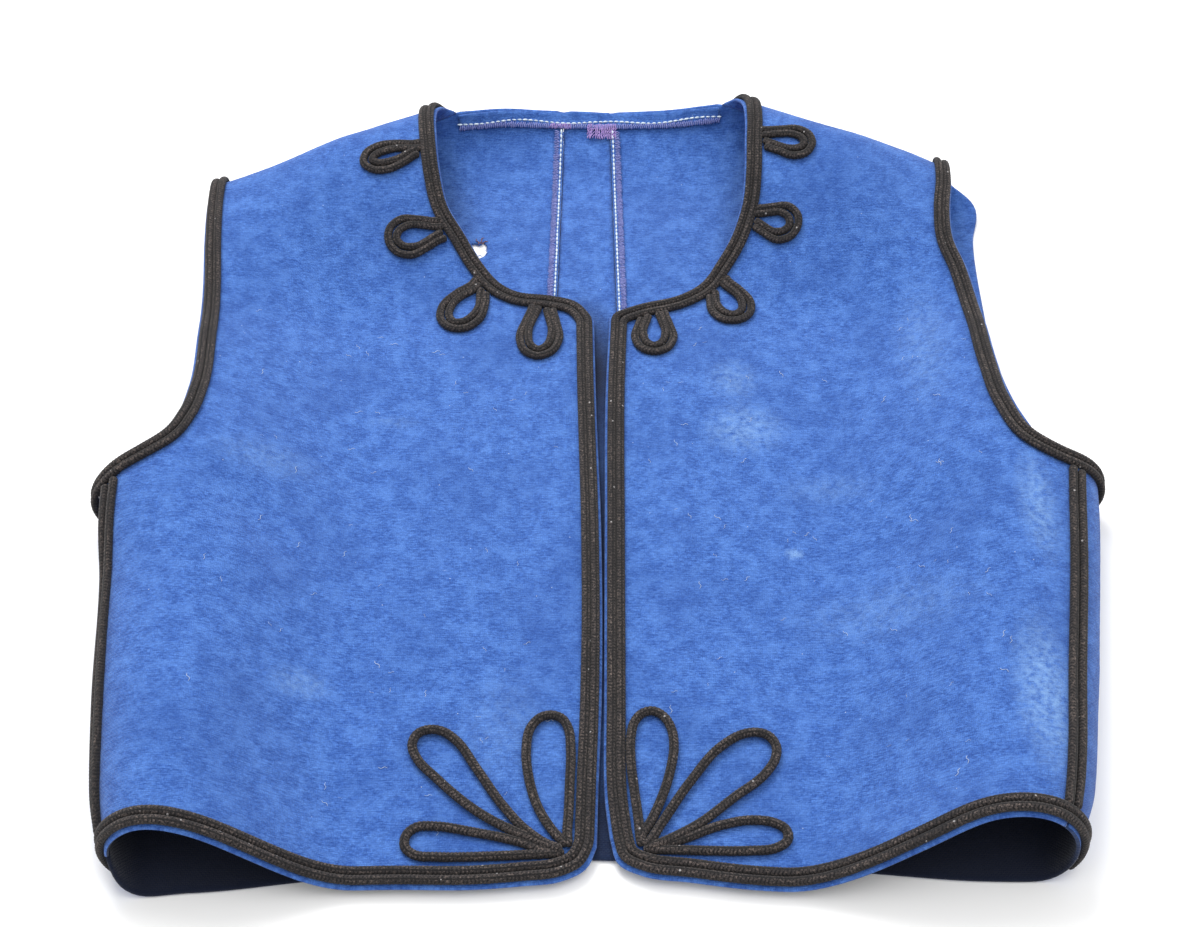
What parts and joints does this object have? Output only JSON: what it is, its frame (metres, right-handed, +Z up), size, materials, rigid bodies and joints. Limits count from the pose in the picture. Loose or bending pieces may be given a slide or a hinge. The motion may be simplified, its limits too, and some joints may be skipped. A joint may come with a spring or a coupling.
{
  "type": "embroidered folk vest",
  "caption": "Short open-fronted folk vest of blue cloth lying on its back, edged with paired plaited cords, with cord loops round the neck and cord petals at the front corners.",
  "frame": {"origin": "on the flat underside, under the middle strip of the back, a little below the chest line", "axes": "+X towards the wearer's left, +Y from hem to neck, +Z up from the table through the fronts"},
  "size_m": [0.4396, 0.4383, 0.0452],
  "materials": {
    "blue cloth": "matt",
    "plaited cord": "matt",
    "serged edge": "matt"
  },
  "bodies": {
    "root": {"front_right": "blue cloth", "front_left": "blue cloth", "back_right": "blue cloth", "back_left": "blue cloth", "back_centre": "blue cloth", "neck_hem": "blue cloth", "seam_allowance_right": "serged edge", "seam_allowance_left": "serged edge", "cord_edge_outer_right": "plaited cord", "cord_edge_inner_right": "plaited cord", "cord_edge_outer_left": "plaited cord", "cord_edge_inner_left": "plaited cord", "cord_neck_outer_back": "plaited cord", "cord_neck_inner_back": "plaited cord", "cord_armhole_outer_right": "plaited cord", "cord_armhole_inner_right": "plaited cord", "cord_armhole_outer_left": "plaited cord", "cord_armhole_inner_left": "plaited cord", "cord_side_front_right": "plaited cord", "cord_side_back_right": "plaited cord", "cord_side_front_left": "plaited cord", "cord_side_back_left": "plaited cord", "cord_loop1_outer_right": "plaited cord", "cord_loop1_inner_right": "plaited cord", "cord_loop2_outer_right": "plaited cord", "cord_loop2_inner_right": "plaited cord", "cord_loop3_outer_right": "plaited cord", "cord_loop3_inner_right": "plaited cord", "cord_loop4_outer_right": "plaited cord", "cord_loop4_inner_right": "plaited cord", "cord_loop1_outer_left": "plaited cord", "cord_loop1_inner_left": "plaited cord", "cord_loop2_outer_left": "plaited cord", "cord_loop2_inner_left": "plaited cord", "cord_loop3_outer_left": "plaited cord", "cord_loop3_inner_left": "plaited cord", "cord_loop4_outer_left": "plaited cord", "cord_loop4_inner_left": "plaited cord", "cord_petal1_right": "plaited cord", "cord_petal2_right": "plaited cord", "cord_petal3_right": "plaited cord", "cord_petal1_left": "plaited cord", "cord_petal2_left": "plaited cord", "cord_petal3_left": "plaited cord"}
  },
  "joints": []
}
